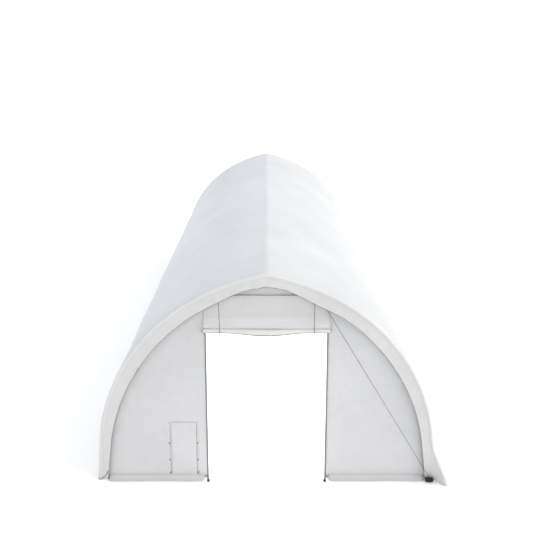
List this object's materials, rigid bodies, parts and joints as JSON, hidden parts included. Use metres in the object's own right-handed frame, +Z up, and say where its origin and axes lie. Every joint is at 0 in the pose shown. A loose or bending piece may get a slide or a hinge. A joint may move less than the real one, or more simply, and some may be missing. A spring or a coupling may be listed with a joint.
{
  "type": "arched fabric livestock shelter",
  "caption": "Walk-in arched fabric shelter for calves: white cover over tube arches, closed rear, roll-up front door hoisted by ropes, and a small zipped flap low in the front wall.",
  "frame": {"origin": "on the ground under the middle of the shelter", "axes": "+Z up, Y along the ridge with the doorway facing -Y, +X to the right when facing +Y"},
  "size_m": [6.1282, 12.295, 3.9319],
  "materials": {
    "galvanised_tube": "hot-dip galvanised, dull",
    "cover_fabric": "coated woven polyethylene, white, faint sheen",
    "webbing": "woven edge tape and zip tape",
    "rope": "twisted black rope",
    "black_plastic": "moulded, matt"
  },
  "bodies": {
    "structure": {"arch_1_left": "galvanised_tube", "arch_1_right": "galvanised_tube", "arch_2_left": "galvanised_tube", "arch_2_right": "galvanised_tube", "arch_3_left": "galvanised_tube", "arch_3_right": "galvanised_tube", "arch_4_left": "galvanised_tube", "arch_4_right": "galvanised_tube", "arch_5_left": "galvanised_tube", "arch_5_right": "galvanised_tube", "arch_6_left": "galvanised_tube", "arch_6_right": "galvanised_tube", "ridge_elbow_1": "galvanised_tube", "ridge_elbow_2": "galvanised_tube", "ridge_elbow_3": "galvanised_tube", "ridge_elbow_4": "galvanised_tube", "ridge_elbow_5": "galvanised_tube", "ridge_elbow_6": "galvanised_tube", "ridge_purlin": "galvanised_tube", "base_rail_left": "galvanised_tube", "base_rail_right": "galvanised_tube", "side_purlin_left": "galvanised_tube", "side_purlin_right": "galvanised_tube", "door_post_left": "galvanised_tube", "door_post_right": "galvanised_tube", "rear_post_left": "galvanised_tube", "rear_post_right": "galvanised_tube", "curtain_batten": "galvanised_tube", "pulley_housing_left": "galvanised_tube", "pulley_housing_right": "galvanised_tube", "roof_cover": "cover_fabric", "front_valance": "cover_fabric", "rear_valance": "cover_fabric", "front_wall_left": "cover_fabric", "front_wall_right": "cover_fabric", "front_gable": "cover_fabric", "rear_wall": "cover_fabric", "curtain_panel": "cover_fabric", "jamb_binding_left": "webbing", "jamb_binding_right": "webbing", "zip_outer": "webbing", "zip_inner": "webbing", "valance_rope": "rope", "sling_fall_left": "rope", "sling_fall_right": "rope", "cross_rope": "rope", "hauling_rope": "rope", "rope_hank": "rope", "rope_cleat": "black_plastic"},
    "door_sling": {"sling_bight_left": "rope", "sling_bight_right": "rope"},
    "door_roll": {"curtain_roll": "cover_fabric", "roller_pipe": "galvanised_tube"},
    "left_sheave": {"sheave_left": "black_plastic"},
    "right_sheave": {"sheave_right": "black_plastic"},
    "flap": {"calf_flap": "cover_fabric"},
    "outer_slider": {"zip_slider_outer": "black_plastic"},
    "inner_slider": {"zip_slider_inner": "black_plastic"}
  },
  "joints": [
    {"name": "door_lift", "type": "slide", "parent": "structure", "child": "door_sling", "axis": [0, 0, -1], "range_m": [0, 2.826], "deforming": ["curtain_panel", "sling_fall_left", "sling_fall_right"]},
    {"name": "roll_spin", "type": "hinge", "parent": "door_sling", "child": "door_roll", "pos_m": [0, -6.0893, 2.89], "axis": [1, 0, 0], "range_deg": [0, 3605]},
    {"name": "left_sheave_spin", "type": "hinge", "parent": "structure", "child": "left_sheave", "pos_m": [-0.7957, -6.068, 3.4997], "axis": [0, 1, 0], "range_deg": [-9740, 0]},
    {"name": "right_sheave_spin", "type": "hinge", "parent": "structure", "child": "right_sheave", "pos_m": [0.8643, -6.068, 3.4997], "axis": [0, 1, 0], "range_deg": [-9740, 0]},
    {"name": "flap_swing", "type": "hinge", "parent": "structure", "child": "flap", "pos_m": [-1.495, -6.029, 1.103], "axis": [-1, 0, 0], "range_deg": [0, 110]},
    {"name": "outer_zip", "type": "slide", "parent": "structure", "child": "outer_slider", "axis": [0, 0, 1], "range_m": [0, 1.05]},
    {"name": "inner_zip", "type": "slide", "parent": "structure", "child": "inner_slider", "axis": [0, 0, 1], "range_m": [0, 1.05]}
  ],
  "couplings": [
    {"joint": "roll_spin", "follows": "door_lift", "rad_per_m": 22.233},
    {"joint": "left_sheave_spin", "follows": "door_lift", "rad_per_m": -58.31},
    {"joint": "right_sheave_spin", "follows": "door_lift", "rad_per_m": -58.31}
  ]
}
